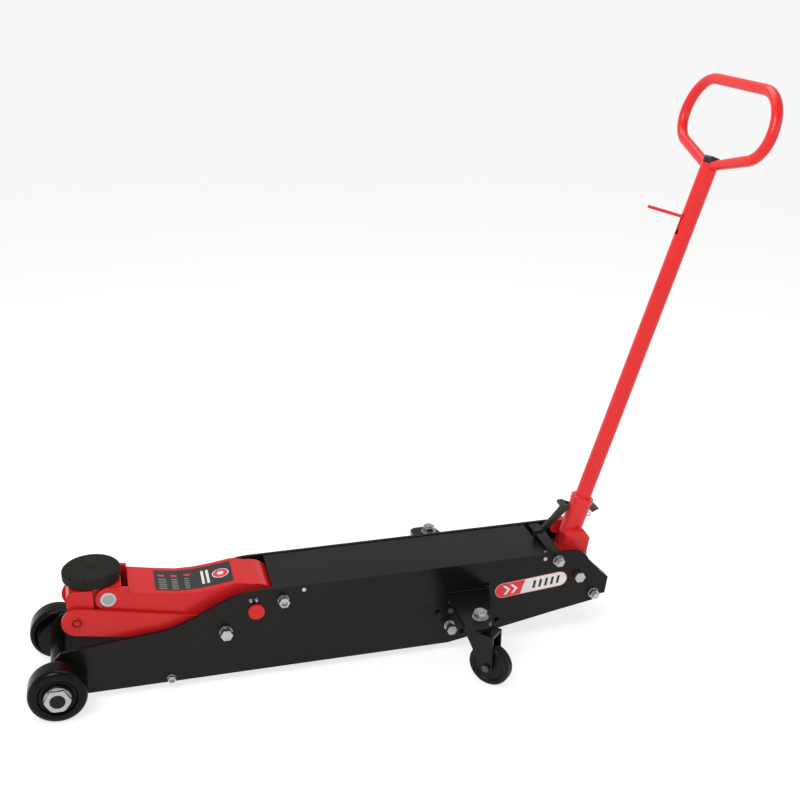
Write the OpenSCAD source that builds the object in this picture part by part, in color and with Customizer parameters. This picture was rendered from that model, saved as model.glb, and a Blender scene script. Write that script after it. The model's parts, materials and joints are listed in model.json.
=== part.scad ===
// Long-chassis trolley jack with a parallel-motion lift arm, a saddle with a
// rubber pad, two front wheels, two outrigger casters and a pump handle.
// X runs from the saddle end (-) to the handle end (+), Y across the frame
// (+Y is the right-hand side for someone at the handle looking at the saddle),
// Z up from the floor. Sizes are in millimetres.
// The layout is drawn from the lift arm's pivot and then moved, so that the
// origin is on the floor under the middle of the whole jack.

/* [Chassis] */
// Width over the two side plates
frame_w = 187; // [156:1:226]
// Thickness of a side plate
plate_t = 8; // [6:0.5:10]
// Height of the side plates' top edge
deck_h = 247.5; // [240:0.5:270]
// Height of the frame's underside
belly_h = 22; // [18:1:30]
// Height of the side plates' top edge just behind the front wheels
nose_h = 143; // [125:1:160]
// From the lift arm's pivot back to the handle's pivot
rear_reach = 855.5; // [800:0.5:1030]
// From the arm's front pin forward to the front axle when the arm is level
axle_lead = 128.3; // [120:0.1:170]
// Width of the bent strip behind the cover
strip_w = 30; // [20:1:40]
// Thickness of the cover and of the strip
cover_t = 4; // [3:0.5:6]

/* [Lift arm] */
// Between the arm's two pins
arm_len = 356; // [296:1:430]
// Height of the arm's rear pivot
lift_z = 192; // [186:1:198]
// Angle of the arm above the horizontal as drawn
arm_angle = 10.7; // [0:0.1:30]
// From the arm's pivot forward to the lower link's pivot
link_ahead = 77; // [70:1:90]
// From the arm's pivot down to the lower link's pivot
link_drop = 48; // [44:1:56]
// From the arm's pivot down its crank to the crank pin
crank_len = 80; // [72:1:84]
// Diameter of the arm's pivot shaft
lift_shaft_d = 40; // [32:1:48]
// Diameter of the pin that carries the saddle bracket
arm_pin_d = 24; // [18:0.2:29]
// Diameter of the crank pin
crank_pin_d = 24; // [18:0.2:29]
// Thickness of the arm's cheeks
cheek_t = 10; // [8:0.5:12]
// Thickness of the link's flanges and web
link_t = 8; // [6:0.5:9]

/* [Saddle] */
// Diameter of the rubber pad
pad_d = 139; // [116:1:166]
// Thickness of the rubber pad
pad_t = 26; // [18:1:30]
// Height of the pad's top as drawn, above the arm's front pin
pad_rise = 59; // [56:1:64]
// Diameter of the saddle's stem
stem_d = 36; // [28:1:40]

/* [Wheels] */
// Diameter of a front wheel
wheel_d = 140; // [118:1:168]
// Width of a front wheel
wheel_w = 59; // [48:1:70]
// Gap between a side plate and a front wheel
wheel_gap = 16.5; // [10:0.5:24]
// Diameter of the front axle
axle_d = 36; // [30:0.2:44]
// Diameter of a caster wheel
caster_d = 110; // [96:1:112]
// Width of a caster wheel
caster_w = 32; // [26:1:34]
// From the kingpin back to the caster wheel's axle
trail = 34; // [30:1:40]
// Direction in which the casters trail as drawn
caster_turn = 46; // [0:1:90]
// From the frame's outer face out to a kingpin
outrigger_reach = 138.5; // [130:0.5:170]
// Diameter of a kingpin
kingpin_d = 20; // [16:1:24]

/* [Handle] */
// Outer diameter of the handle tube
tube_d = 42.4; // [35.3:0.1:50.9]
// Wall of the handle tube
tube_wall = 3.2; // [2.5:0.1:4]
// From the handle's pivot up to the top of the tube
tube_top = 1104; // [920:1:1320]
// Lean of the handle from upright as drawn
lean = 17.5; // [10:0.5:25]
// Half the width of the grip loop, to the middle of its tube
loop_half_w = 207; // [180:1:240]
// Height of the grip loop, to the middle of its tube
loop_h = 208; // [190:1:240]
// Diameter of the loop's tube
loop_d = 27; // [22:1:32]
// Outer diameter of the handle's socket
socket_d = 57; // [54:0.5:66]
// Diameter of the bolt that the handle turns on
yoke_bolt_d = 24; // [18:0.2:29]
// From the handle's pivot down to the roller that works the pump
roller_arm = 45; // [40:1:48]

/* [Hydraulics] */
// Outer diameter of the ram cylinder
cylinder_d = 90; // [80:1:96]
// Outer diameter of the oil tank
tank_d = 128; // [110:1:134]
// Diameter of the ram's rod
ram_d = 42; // [34:1:48]
// Diameter of the pump plunger
plunger_d = 24; // [18:0.2:29]

/* [Fits] */
// Radial clearance of a running fit
fit = 0.05; // [0.02:0.01:0.1]
// Clearance between plates that pass each other
side_clear = 2.5; // [2:0.1:4]

/* [Hidden] */

$fn = 64;

// Layers across the frame, as distances from the middle plane
frame_out = frame_w / 2;
frame_in = frame_out - plate_t;
link_out = frame_in - 11;
link_in = link_out - link_t;
arm_out = link_in - side_clear;
arm_in = arm_out - cheek_t;
bracket_out = arm_in - 1.5;
wheel_in = frame_out + wheel_gap;
wheel_out = wheel_in + wheel_w;
wheel_r = wheel_d / 2;

// Pins of the parallel linkage, as [x, z]
lift_pin = [0, lift_z];
link_pin = [-link_ahead, lift_z - link_drop];
arm_reach = arm_len * [-cos(arm_angle), sin(arm_angle)];
arm_tip = lift_pin + arm_reach;
link_tip = link_pin + arm_reach;
arm_end_r = 30;
link_front_r = 36;
link_rear_r = 30;
arm_rear_r = 60;

// Crank: it leans back by half of the arm's travel past upright
crank_lean = 12.3;
crank_at = lift_pin + crank_len * [sin(crank_lean), -cos(crank_lean)];
crank_boss_r = crank_pin_d / 2 + 10;
roller_r = crank_pin_d / 2 + 4;
// The ram moves by this much for each degree of the arm: its slot follows the pin
slot_x = crank_len * 0.932 * crank_lean * PI / 180;
slot_clear = 1.6;
crank_rise = crank_len * (1 - cos(37));

// Chassis outline
axle_x = -arm_len - axle_lead;
axle_z = wheel_r;
nose_r = axle_z - belly_h;
yoke_z = 173;
rear_x = rear_reach + 57.5;
strip_x1 = rear_reach - 49.5;
strip_x0 = strip_x1 - strip_w;
cover_x0 = 45;
cover_x1 = strip_x0 - 14;
cover_top = deck_h - 1.5;
sheet_gap = 0.3;

// Bolts right across the frame, as [x, z, diameter, length beyond the plate, nut's stand-off]
cross_at = [
    [-216, 33, 12, 7, 0],
    [68, 214, 16, 14, 5],
    [rear_reach - 60.5, 227, 16, 22, 0],
    [rear_reach + 45.5, 115, 16, 22, 0]];
trunnion_x = 435;
trunnion_r = 21;
ram_z = crank_at[1] + crank_len * (cos(crank_lean) - 1) + crank_rise / 2;
bolt_hex = 1.5;

// Saddle
saddle_x = arm_tip[0] - 35;
pad_top = arm_tip[1] + pad_rise;
plate_top = pad_top - pad_t + 4;
plate_bottom = plate_top - 8;
saddle_plate_r = min(pad_d / 2 - 12, 56);

// Casters
kingpin_x = 536;
kingpin_y = frame_out + outrigger_reach;
caster_r = caster_d / 2;
fork_top = caster_r * 2 + 36;
fork_plate = 8;
race_h = 16;
shelf_z0 = fork_top + race_h;
shelf_z1 = shelf_z0 + 14;
fork_in = caster_w / 2 + 3.5;
fork_t = 5;
caster_bolt_r = 6;

// Handle
axis_off = 17.9;
socket_top = 188;
tube_foot = 92;
tube_r = tube_d / 2;
loop_foot = tube_top - 11;
loop_rise = 16;
loop_corner_r = 94;
loop_top = loop_foot + loop_h;
lever_h = tube_top - 141.6;
lever_travel = 40;
lever_d = 8;
pawl_h = 140;
leg_in = max(tube_r, roller_arm * 0.5) + 9;
leg_t = 18;
leg_out = leg_in + leg_t;
roller_lean = 24;
roller_x = rear_reach + roller_arm * sin(roller_lean);
roller_z = yoke_z - roller_arm * cos(roller_lean);
pump_roller_r = 14;
plunger_face = roller_x - pump_roller_r - 1;
block_x1 = rear_reach - 85.5;
block_x0 = block_x1 - 90;

// Middle of the whole jack along X
rear_most = rear_reach - axis_off * cos(lean) + loop_top * sin(lean) + loop_d / 2;
mid_x = (rear_most + axle_x - wheel_r) / 2;

// ---------- helpers ----------

module on_base() translate([-mid_x, 0, 0]) children();

// A flat outline in the XZ plane, thickened from y0 to y1
module xz_plate(y0, y1) translate([0, y1, 0]) rotate([90, 0, 0]) linear_extrude(y1 - y0) children();

// A round bar along Y
module bar(at, r, y0, y1) translate([at[0], y0, at[1]]) rotate([-90, 0, 0]) cylinder(r = r, h = y1 - y0);

// A hexagon along Y, af across its flats
module hex(at, af, y0, y1)
    translate([at[0], y0, at[1]]) rotate([-90, 0, 0]) cylinder(d = af / cos(30), h = y1 - y0, $fn = 6);

// The same thing on both sides of the frame
module both_sides() {
    children();
    mirror([0, 1, 0]) children();
}

// Points along an arc
function arc(c, r, a0, a1, n = 10) =
    [for (i = [0:n]) c + r * [cos(a0 + (a1 - a0) * i / n), sin(a0 + (a1 - a0) * i / n)]];

// A bar with round ends of two radii, drawn from tangent to tangent
module tapered_bar(p, rp, q, rq) {
    d = q - p;
    a = atan2(d[1], d[0]);
    t = acos((rp - rq) / norm(d));
    translate(p) circle(rp);
    translate(q) circle(rq);
    polygon([
        p + rp * [cos(a + t), sin(a + t)], q + rq * [cos(a + t), sin(a + t)],
        q + rq * [cos(a - t), sin(a - t)], p + rp * [cos(a - t), sin(a - t)]]);
}

// A washer under a hexagon on the left plate's outer face
module outside_hex(at, d, stand = 0) {
    bar(at, d * 0.9, -frame_out - 2.5, -frame_out);
    if (stand > 0) bar(at, d * 0.62, -frame_out - 2.5 - stand, -frame_out - 2.4);
    hex(at, bolt_hex * d, -frame_out - 2.5 - stand - d * 0.75, -frame_out - 2.4 - stand);
}

// Places what is drawn about the handle's own axis, with its pivot height as zero
module on_handle()
    translate([rear_reach, 0, yoke_z]) rotate([0, lean, 0]) translate([-axis_off, 0, 0]) children();

// ---------- frame ----------

// Sweep of the top edge: level deck, an S down to the nose, then a slope
ramp_x0 = 5;
ramp_x1 = -254;
ramp_z = nose_h + 22;
function ramp(t) = [
    ramp_x0 + (ramp_x1 - ramp_x0) * t,
    ramp_z + (deck_h - ramp_z) * (1 + cos(180 * t)) / 2];

module side_outline() {
    difference() {
        polygon(concat(
            [[rear_reach - 358, belly_h], [rear_reach - 316, belly_h + 7],
             [rear_reach - 215, belly_h + 24], [rear_reach - 57, belly_h + 53]],
            arc([rear_x - 20, belly_h + 89], 20, -70, 0, 6),
            [[rear_x, 185]],
            arc([rear_reach - 16, 203], 45, 20, 90, 8),
            [for (i = [0:14]) ramp(i / 14)],
            [[axle_x + 12, nose_h]],
            arc([axle_x, axle_z], nose_r, 105, 270, 24)));
        translate(lift_pin) circle(lift_shaft_d / 2 + fit);
        translate(link_pin) circle(9 + fit);
        translate([axle_x, axle_z]) circle(axle_d / 2 + fit);
        translate([trunnion_x, ram_z]) circle(trunnion_r + fit);
        translate([rear_reach, yoke_z]) circle(yoke_bolt_d / 2 + fit);
        for (b = cross_at) translate([b[0], b[1]]) circle(b[2] / 2 + fit);
        for (b = side_bolts_at) translate([b[0], b[1]]) circle(b[2] / 2 + fit);
        for (b = bracket_bolts_at) translate([b[0], b[1]]) circle(5 + fit);
        for (x = cover_screws_x) translate([x, cover_top - 10]) circle(3 + fit);
    }
}

module side_plate() color([0.05, 0.05, 0.05]) xz_plate(-frame_out, -frame_in) side_outline();
module side_plate_left() on_base() side_plate();
module side_plate_right() on_base() mirror([0, 1, 0]) side_plate();

cover_screws_x = [cover_x0 + 75, cover_x1 - 4];
cover_w = frame_in - sheet_gap;

// Folded sheet with a lip down each long edge
module top_cover() on_base() color([0.06, 0.06, 0.06]) difference() {
    translate([cover_x0, -cover_w, cover_top - 18]) cube([cover_x1 - cover_x0, 2 * cover_w, 18]);
    translate([cover_x0 - 1, -cover_w + cover_t, cover_top - 19])
        cube([cover_x1 - cover_x0 + 2, 2 * (cover_w - cover_t), 19 - cover_t]);
    for (x = cover_screws_x) bar([x, cover_top - 10], 3 + fit, -frame_out, frame_out);
    // clear of the nuts' end of the front cross bolt
    bar([cross_at[1][0], cross_at[1][1]], 22, -frame_out, frame_out);
}

module cover_screws() on_base() color([0.75, 0.75, 0.75]) both_sides() for (x = cover_screws_x) {
    bar([x, cover_top - 10], 3, -frame_out - 1, -frame_in + cover_t + 4);
    bar([x, cover_top - 10], 5.5, -frame_out - 3, -frame_out);
}

// Cross strip with a lip down its rear edge
module rear_strip() on_base() color([0.07, 0.07, 0.07]) {
    translate([strip_x0, -cover_w, cover_top - cover_t]) cube([strip_w, 2 * cover_w, cover_t]);
    translate([strip_x1 - cover_t, -cover_w, cover_top - 9]) cube([cover_t, 2 * cover_w, 9]);
}

// Welded rear guard: a cheek inside each plate and a low bar between them
guard_in = leg_out + 7;
module guard_outline(low) polygon(low
    ? [[rear_x - 25, 100], [rear_x + 26, 104], [rear_x + 27, 122], [rear_x - 25, 122]]
    : [[rear_x - 30, 100], [rear_x + 26, 104], [rear_x + 32, 152], [rear_x - 3, 185], [rear_x - 30, 185]]);
module tail_guard() on_base() color([0.1, 0.1, 0.1]) difference() {
    union() {
        both_sides() xz_plate(-frame_in + sheet_gap, -guard_in) guard_outline(false);
        xz_plate(-guard_in - 1, guard_in + 1) guard_outline(true);
    }
    bar([cross_at[3][0], cross_at[3][1]], cross_at[3][2] / 2 + fit, -frame_out, frame_out);
}

module cross_bolts() on_base() color([0.8, 0.8, 0.8]) for (b = cross_at)
    bar([b[0], b[1]], b[2] / 2, -frame_out - b[3], frame_out + b[3]);

// Nuts are ring-shaped: they seat round the bolts' ends
module cross_bolt_nuts() on_base() color([0.8, 0.8, 0.8]) both_sides() for (b = cross_at) difference() {
    outside_hex([b[0], b[1]], b[2], b[4]);
    bar([b[0], b[1]], b[2] / 2 + fit, -frame_out - 40, -frame_out + 1);
}

// Bolts through the plates only, as [x, z, diameter, stand-off]
side_bolts_at = [[500, 75, 16, 14], [469, 115, 8, 0], [539, 46, 8, 0], [633, 68, 8, 0]];
module frame_side_bolts() on_base() color([0.8, 0.8, 0.8]) both_sides() for (b = side_bolts_at) {
    outside_hex([b[0], b[1]], b[2], b[3]);
    bar([b[0], b[1]], b[2] / 2, -frame_out - 1, -frame_in);
    hex([b[0], b[1]], bolt_hex * b[2], -frame_in, -frame_in + b[2] * 0.5);
}

// ---------- lift arm ----------

module lift_shaft() on_base() color([0.8, 0.1, 0.1]) {
    bar(lift_pin, lift_shaft_d / 2, -frame_out - 8, frame_out + 8);
}

bush_t = 3;
module lift_bushes() on_base() color([0.75, 0.55, 0.3]) both_sides() difference() {
    bar(lift_pin, lift_shaft_d / 2 + bush_t, -arm_out, -arm_out + 30);
    bar(lift_pin, lift_shaft_d / 2 + fit, -arm_out - 1, -arm_out + 31);
}

// Two grease points in the left plate above the shaft, and two in the right one
module grease_nipples() on_base() color([0.7, 0.7, 0.7]) both_sides() for (x = [-13, 1])
    translate([x, -frame_out, deck_h - 22]) rotate([90, 0, 0]) {
        cylinder(d = 9, h = 3, $fn = 6);
        cylinder(d = 6, h = 9);
        translate([0, 0, 9]) sphere(d = 6.4);
    }

// Cheek with its front eye, its rear end round the shaft and its crank
arm_top_x = [-301, -240, -184, -140, -100, -42, -8];
arm_top_z = [80, 68, 58.5, 57.5, 61, 69, 61];
plate_rel = [for (i = [0:6]) [arm_top_x[i] * arm_len / 356, lift_z + arm_top_z[i]]];
top_t = 8;
cheek_rear_r = arm_rear_r - top_t - 0.3;
module cheek_outline() {
    tapered_bar(arm_tip, arm_end_r, lift_pin, cheek_rear_r);
    polygon(concat(
        [arm_tip + [0, arm_end_r - 4]],
        [for (p = plate_rel) p - [0, top_t - 1]],
        [lift_pin + [0, 40], lift_pin + [-60, -30], arm_tip + [10, -20]]));
}
// Room for the top plate where it lies on the cheeks
module arm_top_cut() polygon(concat(
    [plate_rel[0] + [0, 60]], [plate_rel[0] - [0, top_t]],
    [for (i = [1:6]) plate_rel[i] - [0, top_t]], arm_rear_in, [[arm_rear_r + 20, deck_h + 60]]));
// Rear end of the top plate: it wraps round the pivot
arm_rear_out = arc(lift_pin, arm_rear_r, 86, 35, 8);
arm_rear_in = arc(lift_pin, arm_rear_r - top_t, 86, 35, 8);
module arm_cheek() color([0.75, 0.08, 0.1]) difference() {
    union() {
        xz_plate(-arm_out, -arm_in) cheek_outline();
        xz_plate(-arm_out, -arm_in) tapered_bar(lift_pin, cheek_rear_r - 8, crank_at, crank_boss_r);
    }
    bar(arm_tip, arm_pin_d / 2 + fit, -arm_out - 1, -arm_in + 1);
    bar(lift_pin, lift_shaft_d / 2 + bush_t, -arm_out - 1, -arm_in + 1);
    bar(crank_at, crank_pin_d / 2 + fit, -arm_out - 1, -arm_in + 1);
    xz_plate(-arm_out - 1, -arm_in + 1) arm_top_cut();
}
module arm_cheek_left() on_base() arm_cheek();
module arm_cheek_right() on_base() mirror([0, 1, 0]) arm_cheek();

module arm_top_plate() on_base() color([0.8, 0.1, 0.1]) xz_plate(-arm_out, arm_out) polygon(concat(
    plate_rel, arm_rear_out, [for (i = [8:-1:0]) arm_rear_in[i]],
    [for (i = [6:-1:0]) plate_rel[i] - [0, top_t]]));

module arm_pivot_tube() on_base() color([0.7, 0.1, 0.1]) difference() {
    bar(lift_pin, 34, -arm_in, arm_in);
    bar(lift_pin, lift_shaft_d / 2 + bush_t, -arm_out, arm_out);
}

module crank_pin() on_base() color([0.7, 0.7, 0.7]) {
    bar(crank_at, crank_pin_d / 2, -arm_out, arm_out);
}
ram_fork = 26;
module crank_roller() on_base() color([0.75, 0.55, 0.3]) difference() {
    bar(crank_at, roller_r, -ram_fork + 1, ram_fork - 1);
    bar(crank_at, crank_pin_d / 2 + fit, -ram_fork, ram_fork);
}

module arm_pin() on_base() color([0.8, 0.8, 0.8]) bar(arm_tip, arm_pin_d / 2, -arm_out - 2, arm_out + 2);
module arm_pin_washers() on_base() color([0.85, 0.85, 0.85]) both_sides() difference() {
    bar(arm_tip, arm_pin_d / 2 + 7, -arm_out - 1.8, -arm_out);
    bar(arm_tip, arm_pin_d / 2 + fit, -arm_out - 3, -arm_out + 1);
}

// ---------- saddle ----------

bracket_front = link_tip[0] - 20;
bracket_top = plate_bottom - 0.5;
module bracket_core() polygon([
    [bracket_front + 8, bracket_top], [bracket_front, bracket_top - 12], [bracket_front, link_tip[1] + 4],
    [link_tip[0] - 16, link_tip[1] - 18], [link_tip[0] + 8, link_tip[1] - 22],
    [arm_tip[0] + 4, arm_tip[1] - 40], [arm_tip[0] + 32, arm_tip[1] - 26],
    [arm_tip[0] + 33, arm_tip[1] + 28], [arm_tip[0] + 24, bracket_top]]);
module saddle_bracket() on_base() color([0.72, 0.08, 0.1]) difference() {
    union() {
        xz_plate(-bracket_out, bracket_out) bracket_core();
        xz_plate(-arm_out, arm_out) intersection() {
            bracket_core();
            translate([bracket_front - 1, 0]) square([arm_tip[0] - arm_end_r - 3 - bracket_front, 400]);
        }
    }
    bar(arm_tip, arm_pin_d / 2 + fit, -frame_w, frame_w);
    bar(link_tip, 12 + 0.3, -frame_w, frame_w);
    translate([saddle_x, 0, plate_bottom - 38]) cylinder(d = stem_d + 2 * fit, h = 60);
    // cored out from below between its two walls, behind the link pins
    translate([link_tip[0] + 16, -bracket_out + 12, link_tip[1] - 40])
        cube([arm_tip[0] + 60 - link_tip[0], 2 * (bracket_out - 12), 40 + arm_tip[1] - link_tip[1] - 22]);
}

module link_flange() tapered_bar(link_tip, link_front_r, link_pin, link_rear_r);
link_dir = arm_reach / arm_len;
link_nrm = [link_dir[1], -link_dir[0]];
web_off = (link_front_r + link_rear_r) / 2 - 1;
function along_link(t, n) = link_pin + t * link_dir - n * link_nrm;
module lower_link() on_base() color([0.85, 0.12, 0.12]) difference() {
    union() {
        both_sides() xz_plate(-link_out, -link_in) link_flange();
        xz_plate(-link_in - 1, link_in + 1) polygon([
            along_link(105, link_rear_r + 1.4), along_link(arm_len - 4, link_front_r - 0.3),
            along_link(arm_len - 4, link_front_r - link_t), along_link(105, link_rear_r + 1.4 - link_t)]);
    }
    bar(link_pin, 13 + fit, -frame_w, frame_w);
    bar(link_tip, 12 + fit, -frame_w, frame_w);
}

// Two headed pins, one through each flange into the bracket
module link_pins() on_base() color([0.8, 0.15, 0.15]) both_sides() {
    bar(link_tip, 12, -link_out - 1.5, -bracket_out + 8);
}

// A shouldered bolt on each side: it clamps to the plate and the link turns on it
module link_bolts() on_base() color([0.8, 0.8, 0.8]) both_sides() {
    outside_hex(link_pin, 18, 5);
    bar(link_pin, 9, -frame_out - 1, -link_in);
    bar(link_pin, 13, -frame_in, -link_in);
    bar(link_pin, 17, -frame_in, -link_out - 1);
}

module saddle_plate() on_base() color([0.15, 0.15, 0.15]) translate([saddle_x, 0, 0]) {
    translate([0, 0, plate_bottom]) cylinder(r = saddle_plate_r, h = plate_top - plate_bottom);
    translate([0, 0, plate_bottom - 36]) cylinder(d = stem_d, h = 37);
}

// Rubber pad with a skirt over the plate and notches round its rim
module saddle_pad() on_base() color([0.08, 0.08, 0.08]) translate([saddle_x, 0, 0]) difference() {
    translate([0, 0, pad_top - pad_t]) rotate_extrude($fn = 96) polygon(concat(
        [[0, 4], [saddle_plate_r + 0.2, 4], [saddle_plate_r + 0.2, 0], [pad_d / 2 - 2, 0]],
        [[pad_d / 2, 3], [pad_d / 2, pad_t - 5], [pad_d / 2 - 4, pad_t - 1], [pad_d / 2 - 8, pad_t]],
        [[11, pad_t], [8, pad_t - 3], [0, pad_t - 3]]));
    for (a = [0:30:330]) rotate(a + 15) translate([pad_d / 2 - 3, -2, pad_top - 6]) cube([6, 4, 8]);
}

// ---------- front wheels ----------

axle_end = wheel_out + 14;
module front_axle() on_base() color([0.2, 0.2, 0.2]) bar([axle_x, axle_z], axle_d / 2, -axle_end, axle_end);

module front_axle_spacers() on_base() color([0.15, 0.15, 0.15]) both_sides() difference() {
    bar([axle_x, axle_z], axle_d / 2 + 8, -wheel_in + 0.5, -frame_out);
    bar([axle_x, axle_z], axle_d / 2 + fit, -wheel_in, -frame_out + 1);
}

// Hexagon with chamfered corners, and a washer behind it
module front_axle_nuts() on_base() color([0.75, 0.75, 0.72]) both_sides() difference() {
    union() {
        bar([axle_x, axle_z], axle_d / 2 + 14, -wheel_out - 3.5, -wheel_out - 0.5);
        intersection() {
            hex([axle_x, axle_z], axle_d * 1.53, -wheel_out - 13.5, -wheel_out - 3.4);
            translate([axle_x, -wheel_out - 13.5, axle_z]) rotate([-90, 0, 0])
                cylinder(r1 = axle_d * 0.8, r2 = axle_d * 0.8 + 12, h = 12);
        }
    }
    bar([axle_x, axle_z], axle_d / 2 + fit, -wheel_out - 20, -wheel_out);
}

wheel_bush_t = 3.5;
hub_r = axle_d / 2 + 17;
// Cast wheel with a dished outer face
module front_wheel() color([0.05, 0.05, 0.05]) translate([axle_x, -wheel_out, axle_z]) rotate([-90, 0, 0])
    rotate_extrude($fn = 96) polygon([
        [axle_d / 2 + wheel_bush_t, 0], [hub_r - 1, 0], [hub_r, 1], [hub_r + 1, 9],
        [wheel_r - 13, 7], [wheel_r - 9, 0.5], [wheel_r - 5, 0], [wheel_r - 2, 1.5], [wheel_r, 5],
        [wheel_r, wheel_w - 5], [wheel_r - 3, wheel_w - 1], [wheel_r - 8, wheel_w],
        [wheel_r - 12, wheel_w - 8], [hub_r + 1, wheel_w - 8], [hub_r, wheel_w],
        [axle_d / 2 + wheel_bush_t, wheel_w]]);
module front_wheel_left() on_base() front_wheel();
module front_wheel_right() on_base() mirror([0, 1, 0]) front_wheel();

module wheel_bush() color([0.7, 0.5, 0.3]) difference() {
    bar([axle_x, axle_z], axle_d / 2 + wheel_bush_t, -wheel_out, -wheel_in);
    bar([axle_x, axle_z], axle_d / 2 + fit, -wheel_out - 1, -wheel_in + 1);
}
module wheel_bush_left() on_base() wheel_bush();
module wheel_bush_right() on_base() mirror([0, 1, 0]) wheel_bush();

// ---------- casters ----------

shelf_front = kingpin_x - 47;
shelf_rear = kingpin_x + 70;
shelf_end = kingpin_y + 33;
bracket_bolts_at = [
    [kingpin_x - 36, 154], [kingpin_x + 59, 154],
    [kingpin_x - 36, 126], [kingpin_x + 59, 126]];

module caster_bracket() color([0.05, 0.05, 0.05]) difference() {
    union() {
        translate([0, 0, shelf_z0]) linear_extrude(shelf_z1 - shelf_z0) polygon([
            [shelf_front, -frame_out], [shelf_front, -shelf_end + 10], [shelf_front + 12, -shelf_end],
            [shelf_front + 58, -shelf_end], [shelf_front + 69, -shelf_end + 10], [shelf_rear, -frame_out]]);
        translate([shelf_front, -frame_out - 8, 112]) cube([shelf_rear - shelf_front, 8, shelf_z1 + 8 - 112]);
        for (x = [kingpin_x - 26, kingpin_x + 40])
            translate([x + 7, 0, 0]) rotate([0, -90, 0]) linear_extrude(7)
            polygon([[112, -frame_out - 7], [shelf_z0 + 1, -frame_out - 7], [shelf_z0 + 1, -frame_out - 62],
                     [shelf_z0 - 8, -frame_out - 62]]);
        translate([kingpin_x, -kingpin_y, shelf_z0])
            cylinder(r = kingpin_d / 2 + 14, h = shelf_z1 - shelf_z0);
    }
    translate([kingpin_x, -kingpin_y, 0]) cylinder(d = kingpin_d + 2 * fit, h = 400);
    for (b = bracket_bolts_at) bar(b, 5 + fit, -frame_out - 20, -frame_out + 1);
}
module caster_bracket_left() on_base() caster_bracket();
module caster_bracket_right() on_base() mirror([0, 1, 0]) caster_bracket();

module bracket_bolts() on_base() color([0.3, 0.3, 0.3]) both_sides() for (b = bracket_bolts_at) {
    bar(b, 5, -frame_out - 9, -frame_in);
    hex(b, 15, -frame_out - 14, -frame_out - 8);
    hex(b, 15, -frame_in, -frame_in + 6);
}

// A bolt up through fork, bearing and shelf
module kingpins() on_base() color([0.75, 0.75, 0.72]) both_sides() translate([kingpin_x, -kingpin_y, 0]) {
    translate([0, 0, fork_top - fork_plate - 12.5]) cylinder(d = kingpin_d * 1.5 / cos(30), h = 12, $fn = 6);
    translate([0, 0, fork_top - fork_plate - 1])
        cylinder(d = kingpin_d, h = shelf_z1 + 23 - fork_top + fork_plate);
}
module kingpin_nuts() on_base() color([0.8, 0.8, 0.78]) both_sides() translate([kingpin_x, -kingpin_y, 0])
    difference() {
        union() {
            translate([0, 0, shelf_z1]) cylinder(r = kingpin_d / 2 + 10.5, h = 3.5);
            translate([0, 0, shelf_z1 + 3.4]) cylinder(d = kingpin_d * 1.5 / cos(30), h = 14, $fn = 6);
        }
        translate([0, 0, shelf_z1 - 1]) cylinder(d = kingpin_d + 2 * fit, h = 40);
    }

// Thrust bearing: two races with a waist between them
module caster_bearings() on_base() color([0.4, 0.4, 0.4]) both_sides() translate([kingpin_x, -kingpin_y, 0])
    difference() {
        translate([0, 0, fork_top + 0.3]) union() {
            cylinder(r = kingpin_d / 2 + 16, h = 5);
            cylinder(r = kingpin_d / 2 + 12, h = race_h - 0.3);
            translate([0, 0, race_h - 5.3]) cylinder(r = kingpin_d / 2 + 16, h = 5);
        }
        translate([0, 0, fork_top - 1]) cylinder(d = kingpin_d + 2 * fit, h = race_h + 4);
    }

// Puts what is drawn about the kingpin, with the wheel trailing along +X
module on_caster() translate([kingpin_x, -kingpin_y, 0]) rotate(-caster_turn) children();

module caster_fork() color([0.06, 0.06, 0.06]) on_caster() difference() {
    union() {
        translate([-32, -fork_in - fork_t, fork_top - fork_plate])
            cube([trail + 46, 2 * (fork_in + fork_t), fork_plate]);
        both_sides() xz_plate(-fork_in - fork_t, -fork_in) polygon(concat(
            [[trail + 15, fork_top - 1], [-22, fork_top - 1], [-22, fork_top - 20]],
            arc([trail, caster_r], 15, 212, 360, 16)));
    }
    bar([trail, caster_r], caster_bolt_r + fit, -60, 60);
    translate([0, 0, fork_top - 30]) cylinder(d = kingpin_d + 2 * fit, h = 60);
}
module caster_fork_left() on_base() caster_fork();
module caster_fork_right() on_base() mirror([0, 1, 0]) caster_fork();

module caster_axle() color([0.6, 0.6, 0.6]) on_caster() {
    bar([trail, caster_r], caster_bolt_r, -fork_in - fork_t - 8, fork_in + fork_t + 8);
    both_sides() hex([trail, caster_r], 18, -fork_in - fork_t - 7, -fork_in - fork_t);
}
module caster_axle_left() on_base() caster_axle();
module caster_axle_right() on_base() mirror([0, 1, 0]) caster_axle();

module caster_wheel() color([0.05, 0.05, 0.05]) on_caster() translate([trail, -caster_w / 2, caster_r])
    rotate([-90, 0, 0]) rotate_extrude($fn = 96) polygon([
        [caster_bolt_r + fit, -2], [15, -2], [16, 5], [caster_r - 17, 6], [caster_r - 13, 1.5],
        [caster_r - 6, 0], [caster_r - 1, 4], [caster_r, 8], [caster_r, caster_w / 2 - 2],
        [caster_r - 2, caster_w / 2], [caster_r, caster_w / 2 + 2],
        [caster_r, caster_w - 8], [caster_r - 1, caster_w - 4], [caster_r - 6, caster_w],
        [caster_r - 13, caster_w - 1.5], [caster_r - 17, caster_w - 6], [16, caster_w - 5],
        [15, caster_w + 2], [caster_bolt_r + fit, caster_w + 2]]);
module caster_wheel_left() on_base() caster_wheel();
module caster_wheel_right() on_base() mirror([0, 1, 0]) caster_wheel();

// ---------- hydraulics ----------

cylinder_x0 = crank_len + 30;
cylinder_x1 = trunnion_x + 45;
module x_bar(x0, x1, z, r) translate([x0, 0, z]) rotate([0, 90, 0]) cylinder(r = r, h = x1 - x0);

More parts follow.
